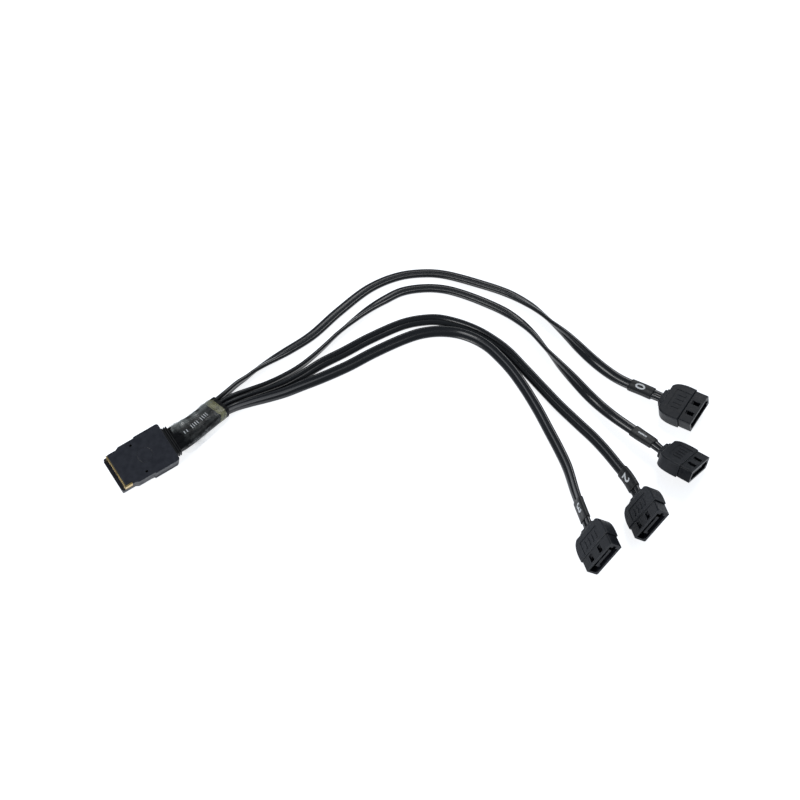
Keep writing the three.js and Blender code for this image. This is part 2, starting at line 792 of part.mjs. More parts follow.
const bootGeometry = geometryOf(boot());
const housingGeometry = geometryOf(housing());
const connectors = connectorPlaces.map((place, number) => {
  const group = new THREE.Group();
  group.add(piece(`boot_${number}`, bootGeometry, "bootPlastic"));
  group.add(piece(`housing_${number}`, housingGeometry, "housingPlastic"));
  for (let i = 0; i < contactCount; i++)
    group.add(piece(`contact_${number}_${i + 1}`, geometryOf(contact(i)), "goldContact"));
  return laid(group, place);
});

const cable = new THREE.Group();
cable.add(plug, bundle, cords, ...connectors);

export default cable;
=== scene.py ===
import math

import bmesh
import bpy
import numpy as np
from mathutils import Matrix, Vector


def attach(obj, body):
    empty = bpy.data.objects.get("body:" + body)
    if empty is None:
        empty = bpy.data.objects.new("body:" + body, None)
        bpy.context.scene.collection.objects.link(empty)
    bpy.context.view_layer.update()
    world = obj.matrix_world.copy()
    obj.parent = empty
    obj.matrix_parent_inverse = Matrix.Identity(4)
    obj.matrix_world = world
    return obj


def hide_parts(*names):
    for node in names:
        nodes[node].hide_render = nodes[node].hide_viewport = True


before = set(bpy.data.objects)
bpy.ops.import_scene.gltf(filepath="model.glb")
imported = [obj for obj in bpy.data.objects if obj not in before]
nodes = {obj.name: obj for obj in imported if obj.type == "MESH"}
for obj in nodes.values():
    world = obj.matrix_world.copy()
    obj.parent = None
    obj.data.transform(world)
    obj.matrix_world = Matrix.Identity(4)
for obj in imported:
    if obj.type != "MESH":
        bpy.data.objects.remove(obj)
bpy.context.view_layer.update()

# Table and studio. The cable lies on a plain white table under soft light: a broad lamp low
# at the front left, which makes the sides facing it paler than the tops, a weaker one behind
# and an even white room.
table_top = bpy.data.meshes.new("table_top")
table_top.from_pydata([(-4, -4, 0), (4, -4, 0), (4, 4, 0), (-4, 4, 0)], [], [(0, 1, 2, 3)])
table = bpy.data.objects.new("table", table_top)
bpy.context.scene.collection.objects.link(table)


def finish_of(name, **sockets):
    """A material of one shader, with the shader's own sockets set."""
    made = bpy.data.materials.new(name)
    made.use_nodes = True
    shader = made.node_tree.nodes["Principled BSDF"]
    for socket, value in sockets.items():
        shader.inputs[socket.replace("_", " ")].default_value = value
    return made


def add_node(finish, kind, settings=None, **values):
    """A node in a material, its settings and its unlinked values."""
    node = finish.node_tree.nodes.new(kind)
    for name, value in (settings or {}).items():
        setattr(node, name, value)
    for socket, value in values.items():
        node.inputs[socket.replace("_", " ")].default_value = value
    return node


def join_nodes(finish, *pairs):
    for out, into in pairs:
        finish.node_tree.links.new(out, into)


white_table = finish_of("white_table", Base_Color=(0.8, 0.86, 0.95, 1), Roughness=0.9)
ray = add_node(white_table, "ShaderNodeLightPath")
seen = add_node(white_table, "ShaderNodeMath", {"operation": "MAXIMUM"})
mirrored = add_node(white_table, "ShaderNodeMath", {"operation": "MAXIMUM"})
glow = add_node(white_table, "ShaderNodeMath", {"operation": "MULTIPLY"})
glow.inputs[1].default_value = 0.84
shader = white_table.node_tree.nodes["Principled BSDF"]
shader.inputs["Emission Color"].default_value = (1, 1, 1, 1)
join_nodes(
    white_table,
    (ray.outputs["Is Camera Ray"], seen.inputs[0]),
    (ray.outputs["Is Glossy Ray"], seen.inputs[1]),
    (seen.outputs[0], mirrored.inputs[0]),
    (ray.outputs["Is Transmission Ray"], mirrored.inputs[1]),
    (mirrored.outputs[0], glow.inputs[0]),
    (glow.outputs[0], shader.inputs["Emission Strength"]),
)
table_top.materials.append(white_table)

room = bpy.data.worlds.new("room")
room.use_nodes = True
bpy.context.scene.world = room
room_nodes = room.node_tree.nodes
room_light = room_nodes["Background"]
room_light.inputs["Color"].default_value = (0.8, 0.9, 1, 1)
ray = room_nodes.new("ShaderNodeLightPath")
strength = room_nodes.new("ShaderNodeMapRange")
strength.inputs["To Min"].default_value = 0.24
strength.inputs["To Max"].default_value = 1.0
room.node_tree.links.new(ray.outputs["Is Camera Ray"], strength.inputs["Value"])
room.node_tree.links.new(strength.outputs["Result"], room_light.inputs["Strength"])

for name, place, aim, size, power in (
    ("low_left_lamp", (-0.6, -0.6, 0.3), (0, 0.03, 0), 0.45, 3.6),
    ("back_lamp", (0.25, 0.62, 0.7), (0, 0.03, 0), 0.4, 2.6),
):
    lamp = bpy.data.lights.new(name, "AREA")
    lamp.size = size
    lamp.energy = power
    holder = bpy.data.objects.new(name, lamp)
    holder.location = place
    holder.rotation_euler = (Vector(aim) - Vector(place)).to_track_quat("-Z", "Y").to_euler()
    bpy.context.scene.collection.objects.link(holder)

bpy.context.scene.view_settings.view_transform = "Standard"

# Camera. It looks down at the table from the front with a long lens, so the far ribbons stay
# nearly as wide as the near ones.
eye = Vector((-0.0054, -0.45418, 0.64405))
looks_at = Vector((-0.0054, 0.049, 0))
lens = bpy.data.cameras.new("camera")
lens.lens = 76.5
lens.sensor_width = 36
lens.clip_start = 0.01
camera = bpy.data.objects.new("camera", lens)
camera.location = eye
camera.rotation_euler = (looks_at - eye).to_track_quat("-Z", "Y").to_euler()
bpy.context.scene.collection.objects.link(camera)
bpy.context.scene.camera = camera


def dress(piece, finish):
    """One finish all over a piece."""
    piece.data.materials.clear()
    piece.data.materials.append(finish)


def clouded(finish, colours, size, rough=None, bump=None, spread=(0.35, 0.65)):
    """Soft patches of colour, and of roughness, and fine relief from a second noise."""
    shader = finish.node_tree.nodes["Principled BSDF"]
    where = add_node(finish, "ShaderNodeTexCoord")
    patches = add_node(finish, "ShaderNodeTexNoise", Scale=1 / size, Detail=5.0)
    ramp = add_node(finish, "ShaderNodeValToRGB")
    for stop, place, colour in zip(ramp.color_ramp.elements, spread, colours):
        stop.position = place
        stop.color = (*colour, 1)
    join_nodes(
        finish,
        (where.outputs["Object"], patches.inputs["Vector"]),
        (patches.outputs["Fac"], ramp.inputs["Fac"]),
        (ramp.outputs["Color"], shader.inputs["Base Color"]),
    )
    if rough:
        range_ = add_node(finish, "ShaderNodeMapRange", To_Min=rough[0], To_Max=rough[1])
        range_.inputs["From Min"].default_value = 0.3
        range_.inputs["From Max"].default_value = 0.7
        join_nodes(
            finish,
            (patches.outputs["Fac"], range_.inputs["Value"]),
            (range_.outputs["Result"], shader.inputs["Roughness"]),
        )
    if bump:
        grain = add_node(finish, "ShaderNodeTexNoise", Scale=1 / bump[0], Detail=3.0)
        relief = add_node(finish, "ShaderNodeBump", Strength=bump[2], Distance=bump[1])
        join_nodes(
            finish,
            (where.outputs["Object"], grain.inputs["Vector"]),
            (grain.outputs["Fac"], relief.inputs["Height"]),
            (relief.outputs["Normal"], shader.inputs["Normal"]),
        )
    return finish


green_board = clouded(
    finish_of("green_board", Coat_Weight=0.3),
    ((0.008, 0.035, 0.018), (0.014, 0.055, 0.027)),
    0.004,
    rough=(0.3, 0.45),
    bump=(0.0004, 0.00002, 0.4),
)
dress(nodes["paddle_card"], green_board)
dark_resin = clouded(
    finish_of("dark_resin"),
    ((0.014, 0.012, 0.009), (0.045, 0.036, 0.024)),
    0.003,
    rough=(0.25, 0.5),
    bump=(0.001, 0.0001, 0.5),
)
dress(nodes["wire_potting"], dark_resin)

# Shield. Thin brass sheet, gold plated, folded over the card with its underside open, and
# turned up over the front edge and the near side of the upper shell, where it shows bright.
worn_gold = clouded(
    finish_of("worn_gold", Metallic=1.0),
    ((0.56, 0.41, 0.16), (0.74, 0.55, 0.24)),
    0.003,
    rough=(0.25, 0.45),
    bump=(0.0005, 0.00002, 0.5),
)
dress(nodes["plug_shield"], worn_gold)

# Plug shells. Two matt charcoal mouldings that meet at a seam a little above mid height: a
# soft-cornered rear body, a stepped nose whose lower jaw runs on past the shield, two small
# snap windows, a plain shallow ring in the top and a ledge low along each side. Sizes in mm.
plug_length, plug_width, plug_height = 28.4, 20.4, 8.6
nose_length, tip_length, nose_width = 15.2, 5.4, 17.8
plug_wall, seam = 1.3, 0.4
plug_corner, nose_corner = 1.2, 0.5
nose_undercut, jaw_reach = 0.9, 1.2
shield_length, shield_wall, shield_show = 11, 0.35, 0.6
shell_edge = 0.4
fit = 0.3
clear = 20  # how far a cutter runs on past the plug


def set_down(piece, place):
    """A piece moved to its place, in the corners of its own mesh."""
    piece.data.transform(place)
    return piece


def placed(x, y, z, heading, pitch, roll):
    """Where a rigid end lies: its middle in millimetres and its turns in degrees."""
    turn = (
        Matrix.Rotation(math.radians(heading), 4, "Z")
        @ Matrix.Rotation(math.radians(-pitch), 4, "Y")
        @ Matrix.Rotation(math.radians(roll), 4, "X")
    )
    return Matrix.Translation((x / 1000, y / 1000, z / 1000)) @ turn


def new_piece(name, corners, faces, smooth=32):
    """A mesh piece from corners in millimetres, smooth except over sharp edges."""
    shape = bmesh.new()
    points = [shape.verts.new((x / 1000, y / 1000, z / 1000)) for x, y, z in corners]
    for face in faces:
        shape.faces.new([points[i] for i in face])
    bmesh.ops.recalc_face_normals(shape, faces=shape.faces)
    mesh = bpy.data.meshes.new(name)
    shape.to_mesh(mesh)
    shape.free()
    piece = bpy.data.objects.new(name, mesh)
    bpy.context.scene.collection.objects.link(piece)
    soften(piece, smooth)
    return piece


def soften(piece, angle):
    piece.data.shade_smooth()
    piece.data.set_sharp_from_angle(angle=math.radians(angle))


def lofted(name, rings, through=False, smooth=32):
    """A skin over rings of points; through joins the last ring to the first, as in a tube wall."""
    count = len(rings[0])
    corners = [tuple(p) for ring in rings for p in ring]
    faces = []
    last = len(rings) if through else len(rings) - 1
    for k in range(last):
        here, there = k * count, ((k + 1) % len(rings)) * count
        for i in range(count):
            j = (i + 1) % count
            faces.append((here + i, here + j, there + j, there + i))
    if not through:
        faces.append(tuple(range(count)))
        faces.append(tuple(range(len(corners) - count, len(corners))))
    return new_piece(name, corners, faces, smooth)


def moulded(name, plan, low, high, edge):
    """A plan outline raised from low to high, with rims rounded to the radius edge."""
    plan = np.array(plan, float)
    before, after = np.roll(plan, 1, 0), np.roll(plan, -1, 0)
    out_a, out_b = plan - before, after - plan
    out_a /= np.linalg.norm(out_a, axis=1)[:, None]
    out_b /= np.linalg.norm(out_b, axis=1)[:, None]
    normal_a = np.stack([out_a[:, 1], -out_a[:, 0]], 1)
    normal_b = np.stack([out_b[:, 1], -out_b[:, 0]], 1)
    outward = normal_a + normal_b
    outward /= (1 + (normal_a * normal_b).sum(1))[:, None]
    rings = []
    for turn in np.linspace(0, 90, 5):
        inset = edge * (1 - math.sin(math.radians(turn)))
        lift = edge * (1 - math.cos(math.radians(turn)))
        rings.append(np.c_[plan - outward * inset, np.full(len(plan), low + lift)])
    for ring in reversed(rings[:]):
        rings.append(np.c_[ring[:, :2], np.full(len(plan), high + low) - ring[:, 2]])
    return lofted(name, rings)


def blocks(name, boxes):
    """Plain boxes in one mesh, each x0, x1, y0, y1, z0, z1, to cut with or to add."""
    corners, faces = [], []
    for x0, x1, y0, y1, z0, z1 in boxes:
        n = len(corners)
        corners += [(x, y, z) for x in (x0, x1) for y in (y0, y1) for z in (z0, z1)]
        faces += [
            tuple(n + i for i in side)
            for side in (
                (0, 1, 3, 2), (4, 6, 7, 5), (0, 4, 5, 1), (2, 3, 7, 6), (0, 2, 6, 4), (1, 5, 7, 3),
            )
        ]
    return new_piece(name, corners, faces)


def worked(piece, tool, how):
    """The piece with the tool cut out of it or joined to it; the tool is used up."""
    step = piece.modifiers.new("work", "BOOLEAN")
    step.operation = how
    step.solver = "EXACT"
    step.object = tool
    graph = bpy.context.evaluated_depsgraph_get()
    mesh = bpy.data.meshes.new_from_object(piece.evaluated_get(graph))
    piece.modifiers.clear()
    piece.data = mesh
    bpy.data.objects.remove(tool)
    soften(piece, 32)
    return piece


def ease_edges(piece, radius, edge_highlight_finish):
    """The small radius that a mould leaves on every sharp edge, its faces given a paler finish as a
    painted highlight.
    """
    piece.data.materials.append(edge_highlight_finish)
    ease = piece.modifiers.new("eased_edges", "BEVEL")
    ease.material = 1
    ease.width = radius / 1000
    ease.segments = 2
    ease.limit_method = "ANGLE"
    ease.angle_limit = math.radians(40)
    ease.harden_normals = True
    even = piece.modifiers.new("even_shading", "WEIGHTED_NORMAL")
    even.keep_sharp = True
    return piece


def corner(cx, cy, radius, start, end, steps=6):
    """Points round a corner of a plan."""
    return [
        (cx + radius * math.cos(math.radians(a)), cy + radius * math.sin(math.radians(a)))
        for a in np.linspace(start, end, steps)
    ]


def plug_plan(front):
    body, nose, tip = plug_width / 2, plug_width / 2 - nose_corner, nose_width / 2
    rear = -plug_length / 2
    step = plug_length / 2 - nose_length
    taper = plug_length / 2 - tip_length
    half = corner(rear + plug_corner, -body + plug_corner, plug_corner, 180, 270)
    half += corner(step - nose_corner, -body + nose_corner, nose_corner, 270, 350, 4)
    half += [(step + 0.4, -nose), (taper - 1.6, -nose), (taper, -tip)]
    half += corner(front - nose_corner, -tip + nose_corner, nose_corner, 270, 360, 4)
    return half + [(x, -y) for x, y in reversed(half)]


front = plug_length / 2
cover_front = front - shield_show
top = plug_height / 2
mouth_side = nose_width / 2 - plug_wall + fit
mouth_low = -top + nose_undercut + plug_wall - fit
mouth_high = top - plug_wall + fit
shield_rear = front - shield_length - fit
cavity_side = plug_width / 2 - plug_wall
rear_wall = -front + plug_wall
room_low, room_high = mouth_low + fit, mouth_high - fit
way_in_side = 5.7
rooms = (
    (shield_rear, front + 3, -mouth_side, mouth_side, mouth_low, mouth_high),
    (rear_wall, shield_rear + 1, -cavity_side, cavity_side, room_low, room_high),
    (-front - 1, rear_wall + 1, -way_in_side, way_in_side, room_low, room_high),
)

plug_place = placed(-124.7, 8.6, 7.42693, 214.8, -4, -21)
upper = moulded("plug_cover", plug_plan(cover_front), -top, top, shell_edge)
below_seam = [(-clear, clear, -clear, clear, -clear, seam + fit / 4)]
worked(upper, blocks("cutter", below_seam), "DIFFERENCE")
for hollow in rooms:
    worked(upper, blocks("cutter", [hollow]), "DIFFERENCE")
snap_middle, snap_side = front - 12.3, 7.2
snaps = [
    (snap_middle - 0.65, snap_middle + 0.65, y - 0.45, y + 0.45, 2, 5)
    for y in (-snap_side, snap_side)
]
worked(upper, blocks("cutter", snaps), "DIFFERENCE")
side_opening = [(cover_front - 3.4, front + 1, mouth_side, clear, -clear, clear)]
worked(upper, blocks("cutter", side_opening), "DIFFERENCE")


def ring_groove(name, x, y, radius, width, low, high):
    """A shallow round groove cutter."""
    rings = []
    for r, z in ((radius, low), (radius, high), (radius + width, high), (radius + width, low)):
        rings.append([(x + px, y + py, z) for px, py in corner(0, 0, r, 0, 352.5, 48)])
    return lofted(name, rings, through=True)


worked(upper, ring_groove("cutter", -1.4, 0, 3.5, 0.25, top - 0.12, top + 1), "DIFFERENCE")

lower = moulded("plug_base", plug_plan(front + jaw_reach), -top, top, shell_edge)
nose_rear = front - nose_length
ledge_low, ledge_side = -top + 0.8, 10.4
ledge = [(-front + plug_corner, nose_rear, -ledge_side, ledge_side, ledge_low, ledge_low + 1)]
worked(lower, blocks("ledge", ledge), "UNION")
above_seam = [(-clear, clear, -clear, clear, seam - fit / 4, clear)]
worked(lower, blocks("cutter", above_seam), "DIFFERENCE")
undercut = [(nose_rear + plug_corner, clear, -clear, clear, -clear, -top + nose_undercut)]
worked(lower, blocks("cutter", undercut), "DIFFERENCE")
for hollow in rooms:
    worked(lower, blocks("cutter", [hollow]), "DIFFERENCE")

charcoal_moulding = clouded(
    finish_of("charcoal_moulding", Specular_IOR_Level=0.4),
    ((0.0168, 0.0188, 0.028), (0.026, 0.029, 0.0405)),
    0.0022,
    rough=(0.42, 0.62),
    bump=(0.00022, 0.00003, 0.55),
)
# Paler charcoal for the plug's eased edges: a painted highlight along every edge.
charcoal_edge_highlight = clouded(
    finish_of("charcoal_edge_highlight"),
    ((0.02, 0.022, 0.03), (0.045, 0.048, 0.058)),
    0.0015,
    rough=(0.35, 0.5),
)
for piece, node in ((upper, "plug_upper_shell"), (lower, "plug_lower_shell")):
    set_down(piece, plug_place)
    dress(piece, charcoal_moulding)
    ease_edges(piece, 0.1, charcoal_edge_highlight)
    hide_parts(node)
    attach(piece, "root")

# Card pads. Eighteen narrow gold pads on each face of the card, near its front edge, plated
# on the copper of the board.
pad_margin, half_pad = 0.2, 0.25
outer_pad = mouth_side - fit - fit / 2 - shield_wall - fit / 2 - pad_margin - half_pad
pad_rear, pad_front, pad_side = 8.59, 11.21, 0.26
pad_gap, pad_reach = 0.01, 0.09
card_low, card_high = -0.05, 0.95
faces = ((card_low - pad_reach, card_low - pad_gap), (card_high + pad_gap, card_high + pad_reach))
pads = blocks(
    "card_pads",
    [
        (pad_rear, pad_front, y - pad_side, y + pad_side, low, high)
        for low, high in faces
        for y in np.linspace(-outer_pad, outer_pad, 18)
    ],
)
set_down(pads, plug_place)
dress(pads, worn_gold)
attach(pads, "root")

# Neck. A short black ridged block moulded on the bundle, which fills the rear opening of the
# plug shells and takes the pull of the cable.
def soft_box(width, height, radius, steps=5):
    """A rounded oblong section as points across and up."""
    w, h = width / 2 - radius, height / 2 - radius
    return [
        point
        for cx, cy, start in ((w, h, 0), (-w, h, 90), (-w, -h, 180), (w, -h, 270))
        for point in corner(cx, cy, radius, start, start + 90, steps)
    ]


neck_front = -front - fit
neck_width, neck_height, neck_corner = 15, 6.6, 1.5
ridges = (
    (0, 0), (0.45, 0), (0.6, -0.45), (0.95, -0.45), (1.1, 0), (1.5, 0),
    (1.65, -0.45), (2.0, -0.45), (2.15, 0), (2.4, 0), (2.5, -0.15),
)
neck_rings = []
for back, grow in ridges:
    section = soft_box(neck_width + 2 * grow, neck_height + 2 * grow, neck_corner)
    neck_rings.append([(neck_front - back, y, z) for y, z in section])
neck = lofted("strain_relief", neck_rings)
set_down(neck, plug_place)
black_rubber = clouded(
    finish_of("black_rubber"),
    ((0.010, 0.010, 0.011), (0.018, 0.018, 0.019)),
    0.002,
    rough=(0.45, 0.65),
    bump=(0.0004, 0.00003, 0.5),
)
dress(neck, black_rubber)
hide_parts("plug_neck")
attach(neck, "root")

# Bundle. Behind the neck the four ribbons stand on edge side by side, pressed together; they
# bend down from the plug to the table inside the clear sleeve.
sleeve_route = [
    [-110.4, 18.5, 8.6, 21],
    [-106.7, 21.1, 8.9, 19],
    [-101, 27.7, 7.7, 14],
    [-96, 34.4, 6.2, 7],
    [-91.9, 39.8, 5, 2],
    [-90.5, 41.3, 4.7, 0],
]


def smooth_line(points, before=0, after=0):
    """A smooth line through x, y, z and twist points, as close steps, with straight ends added."""
    points = np.array(points, float)
    p = points[:, :3]
    p = np.vstack([2 * p[0] - p[1], p, 2 * p[-1] - p[-2]])
    places, twists = [], []
    for i in range(1, len(p) - 2):
        x0, x1, x2, x3 = p[i - 1 : i + 3]
        d0, d1, d2 = (np.linalg.norm(b - a) ** 0.5 for a, b in ((x0, x1), (x1, x2), (x2, x3)))
        t1 = ((x1 - x0) / d0 - (x2 - x0) / (d0 + d1) + (x2 - x1) / d1) * d1
        t2 = ((x2 - x1) / d1 - (x3 - x1) / (d1 + d2) + (x3 - x2) / d2) * d1
        for t in np.linspace(0, 1, 24, endpoint=False):
            cubic = (2 * x1 - 2 * x2 + t1 + t2) * t**3 + (3 * x2 - 3 * x1 - 2 * t1 - t2) * t**2
            places.append(cubic + t1 * t + x1)
            twists.append(points[i - 1, 3] * (1 - t) + points[i, 3] * t)
    places.append(p[-2])
    twists.append(points[-1, 3])
    places, twists = np.array(places), np.array(twists)
    start, end = places[0] - places[1], places[-1] - places[-2]
    start, end = start / np.linalg.norm(start), end / np.linalg.norm(end)
    run = np.r_[0, np.cumsum(np.linalg.norm(np.diff(places, axis=0), axis=1))]
    length = run[-1]
    if before:
        places = np.vstack([places[0] + start * before, places])
        run, twists = np.r_[-before, run], np.r_[twists[0], twists]
    if after:
        places = np.vstack([places, places[-1] + end * after])
        run, twists = np.r_[run, length + after], np.r_[twists, twists[-1]]
    return {"run": run, "places": places, "twists": twists, "length": length}


def along_line(line, distances):
    """The middle, the across direction and the over direction at distances along a line."""
    distances = np.atleast_1d(np.array(distances, float))

    def at(d):
        return np.stack([np.interp(d, line["run"], line["places"][:, k]) for k in range(3)], 1)

    middle = at(distances)
    ahead = at(np.minimum(distances + 0.4, line["run"][-1]))
    behind = at(np.maximum(distances - 0.4, line["run"][0]))
    forward = ahead - behind
    forward /= np.linalg.norm(forward, axis=1)[:, None]
    side = np.cross([0, 0, 1.0], forward)
    side /= np.linalg.norm(side, axis=1)[:, None]
    over = np.cross(forward, side)
    twist = np.radians(np.interp(distances, line["run"], line["twists"]))[:, None]
    across = side * np.cos(twist) + over * np.sin(twist)
    above = over * np.cos(twist) - side * np.sin(twist)
    return middle, across, above


def swept_rings(line, distances, section_at):
    """One ring of points per distance; section_at gives points across and above."""
    middle, across, above = along_line(line, distances)
    rings = []
    for k, distance in enumerate(distances):
        section = np.array(section_at(distance, k), float)
        rings.append(middle[k] + section[:, :1] * across[k] + section[:, 1:] * above[k])
    return rings


def note_run(piece, distances, count, name="run"):
    """How far along and round each point of a swept piece lies, for its finish."""
    values = piece.data.attributes.new(name, "FLOAT_VECTOR", "POINT")
    data = [(d / 1000, i / count, 0) for d in distances for i in range(count)]
    values.data.foreach_set("vector", np.array(data, np.float32).ravel())


bundle_line = smooth_line(sleeve_route, before=1.2)
bundle_width, bundle_height = 11.4, 6.2
flare = 1.12


def flare_at(distance):
    """The bundle's width there against its width at the fan; it is widest at the plug."""
    share = min(max(distance / bundle_line["length"], 0) * 2, 1)
    return flare * (1 - share) + share


def bundle_section(distance, k):
    """Four ribbons on edge: four rounded ends along the top and four along the bottom."""
    wide = flare_at(distance) * bundle_width / 2
    points = []
    for side in (1, -1):
        for s in np.linspace(1, -1, 49)[:-1]:
            x = s * side * wide
            lobe = abs(math.sin(math.pi * 2 * (s + 1)))
            edge = max(0.0, 1 - abs(s) ** 14)
            rise = (bundle_height / 2 - 0.25 + 0.25 * lobe**0.5) * (0.35 + 0.65 * edge**0.5)
            points.append((x, side * rise))
    return points


steps = np.arange(-1.2, bundle_line["length"] + 0.01, 0.5)
bundle = lofted("bundle", swept_rings(bundle_line, steps, bundle_section), smooth=50)
note_run(bundle, steps, 96)


def black_jacket(name, colours, rough):
    """Satin black jacket: faint lengthwise streaks from the drawing die and small dull marks."""
    finish = finish_of(name, Specular_IOR_Level=0.6)
    shader = finish.node_tree.nodes["Principled BSDF"]
    run = add_node(finish, "ShaderNodeAttribute", {"attribute_name": "run"})
    stretch = add_node(finish, "ShaderNodeMapping", Scale=(60, 30, 1))
    streaks = add_node(finish, "ShaderNodeTexNoise", Scale=1.0, Detail=4.0)
    ramp = add_node(finish, "ShaderNodeValToRGB")
    for stop, place, colour in zip(ramp.color_ramp.elements, (0.35, 0.68), colours):
        stop.position = place
        stop.color = (*colour, 1)
    sheen = add_node(finish, "ShaderNodeMapRange", To_Min=rough[0], To_Max=rough[1])
    sheen.inputs["From Min"].default_value = 0.3
    sheen.inputs["From Max"].default_value = 0.7
    where = add_node(finish, "ShaderNodeTexCoord")
    dents = add_node(finish, "ShaderNodeTexNoise", Scale=900.0, Detail=3.0)
    relief = add_node(finish, "ShaderNodeBump", Strength=0.35, Distance=0.00003)
    join_nodes(
        finish,
        (run.outputs["Vector"], stretch.inputs["Vector"]),
        (stretch.outputs["Vector"], streaks.inputs["Vector"]),
        (streaks.outputs["Fac"], ramp.inputs["Fac"]),
        (ramp.outputs["Color"], shader.inputs["Base Color"]),
        (streaks.outputs["Fac"], sheen.inputs["Value"]),
        (sheen.outputs["Result"], shader.inputs["Roughness"]),
        (where.outputs["Object"], dents.inputs["Vector"]),
        (dents.outputs["Fac"], relief.inputs["Height"]),
        (relief.outputs["Normal"], shader.inputs["Normal"]),
    )
    return finish


wrapped_jacket = clouded(
    finish_of("wrapped_jacket", Specular_IOR_Level=0.15),
    ((0.0035, 0.0039, 0.0046), (0.0055, 0.006, 0.007)),
    0.004,
    rough=(0.4, 0.55),
)
dress(bundle, wrapped_jacket)
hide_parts("bundle_wrap")
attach(bundle, "root")

# Clear sleeve. A length of clear film shrunk over the bundle, with its welded seam left as a
# flat flap on the near side and a yellowish bead of adhesive under its far end.
sleeve_start, sleeve_end = 0.6, bundle_line["length"] - 1.9
film, film_room = 0.28, 0.72
flap_start, flap_end = 1.2, sleeve_end - 0.4


def film_section(distance, inward):
    wide = flare_at(distance) * (bundle_width / 2 + film_room) - inward
    high = bundle_height / 2 + 0.6 - inward
    end = min(distance - sleeve_start, sleeve_end - distance)
    draw_in = 0.35 * math.exp(-max(end, 0) / 0.8)
    points = []
    for a in np.linspace(0, 360, 72, endpoint=False):
        c, s = math.cos(math.radians(a)), math.sin(math.radians(a))
        ripple = 0.09 * math.sin(distance * 1.3 + a * 0.11)
        ripple += 0.07 * math.sin(distance * 0.7 - a * 0.06)
        x = math.copysign(abs(c) ** 0.62, c) * (wide - draw_in + ripple)
        y = math.copysign(abs(s) ** 0.62, s) * (high - draw_in + ripple)
        points.append((x, y))
    return points


sleeve_steps = np.linspace(sleeve_start, sleeve_end, 60)
outer = swept_rings(bundle_line, sleeve_steps, lambda d, k: film_section(d, 0))
inner = swept_rings(bundle_line, sleeve_steps, lambda d, k: film_section(d, film))
sleeve = lofted("clear_film", outer + inner[::-1], through=True, smooth=60)


def flap_section(distance, k):
    wide = flare_at(distance) * (bundle_width / 2 + film_room)
    end = min(distance - flap_start, flap_end - distance)
    reach = 2.3 * (1 - math.exp(-max(end, 0) / 0.9))
    tip = wide - 0.1 + max(reach, 0.12)
    sway = 0.12 * math.sin(distance * 0.8)
    return [
        (-wide + 0.35, 0.3), (-wide - 0.3, 0.16 + sway), (-tip, 0.13 + sway),
        (-tip - 0.06, sway), (-tip, -0.13 + sway), (-wide - 0.3, -0.16 + sway), (-wide + 0.35, -0.3),
    ]


flap_steps = np.linspace(flap_start, flap_end, 56)
flap = lofted("film_flap", swept_rings(bundle_line, flap_steps, flap_section), smooth=50)


def clear_film(name, low, high, colour, highlight_at, highlight_cover, highlight_wide, highlight_breaks):
    """Clear film with painted light: milky patches of opacity that are a painted reflection, and a
    paler line along it that is a painted highlight.
    """
    finish = finish_of(name, Base_Color=(*colour, 1), Roughness=0.12, IOR=1.5)
    shader = finish.node_tree.nodes["Principled BSDF"]
    where = add_node(finish, "ShaderNodeTexCoord")
    patches = add_node(finish, "ShaderNodeTexNoise", Scale=130.0, Detail=2.0, Distortion=0.4)
    cover = add_node(finish, "ShaderNodeMapRange", To_Min=low, To_Max=high)
    cover.inputs["From Min"].default_value = 0.5
    cover.inputs["From Max"].default_value = 0.7
    run = add_node(finish, "ShaderNodeAttribute", {"attribute_name": "run"})
    parts = add_node(finish, "ShaderNodeSeparateXYZ")
    off = add_node(finish, "ShaderNodeMath", {"operation": "SUBTRACT"})
    off.inputs[1].default_value = highlight_at
    reach = add_node(finish, "ShaderNodeMath", {"operation": "ABSOLUTE"})
    line = add_node(finish, "ShaderNodeMapRange", To_Min=highlight_cover, To_Max=0.0)
    line.inputs["From Max"].default_value = highlight_wide
    breaks = add_node(finish, "ShaderNodeMapRange", To_Min=highlight_breaks)
    breaks.inputs["From Min"].default_value = 0.44
    breaks.inputs["From Max"].default_value = 0.56
    both = add_node(finish, "ShaderNodeMath", {"operation": "MULTIPLY_ADD", "use_clamp": True})
    ripples = add_node(finish, "ShaderNodeTexNoise", Scale=220.0, Detail=1.0)
    relief = add_node(finish, "ShaderNodeBump", Strength=0.22, Distance=0.0002)
    join_nodes(
        finish,
        (where.outputs["Object"], patches.inputs["Vector"]),
        (patches.outputs["Fac"], cover.inputs["Value"]),
        (run.outputs["Vector"], parts.inputs["Vector"]),
        (parts.outputs["Y"], off.inputs[0]),
        (off.outputs["Value"], reach.inputs[0]),
        (reach.outputs["Value"], line.inputs["Value"]),
        (patches.outputs["Fac"], breaks.inputs["Value"]),
        (line.outputs["Result"], both.inputs[0]),
        (breaks.outputs["Result"], both.inputs[1]),
        (cover.outputs["Result"], both.inputs[2]),
        (both.outputs["Value"], shader.inputs["Alpha"]),
        (where.outputs["Object"], ripples.inputs["Vector"]),
        (ripples.outputs["Fac"], relief.inputs["Height"]),
        (relief.outputs["Normal"], shader.inputs["Normal"]),
    )
    return finish


note_run(sleeve, [*sleeve_steps, *sleeve_steps[::-1]], 72)
note_run(flap, flap_steps, 7)
# The sleeve's pale line along its upper shoulder and the flap's pale outer edge are painted
# highlight; the milky patches are painted reflection.
dress(sleeve, clear_film("sleeve_film", 0.0, 0.07, (0.5, 0.53, 0.52), 0.12, 0.55, 0.11, 0.0))
dress(flap, clear_film("flap_film", 0.05, 0.16, (0.6, 0.63, 0.64), 0.43, 0.6, 0.11, 0.7))
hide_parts("clear_sleeve")
for piece in (sleeve, flap):
    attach(piece, "root")

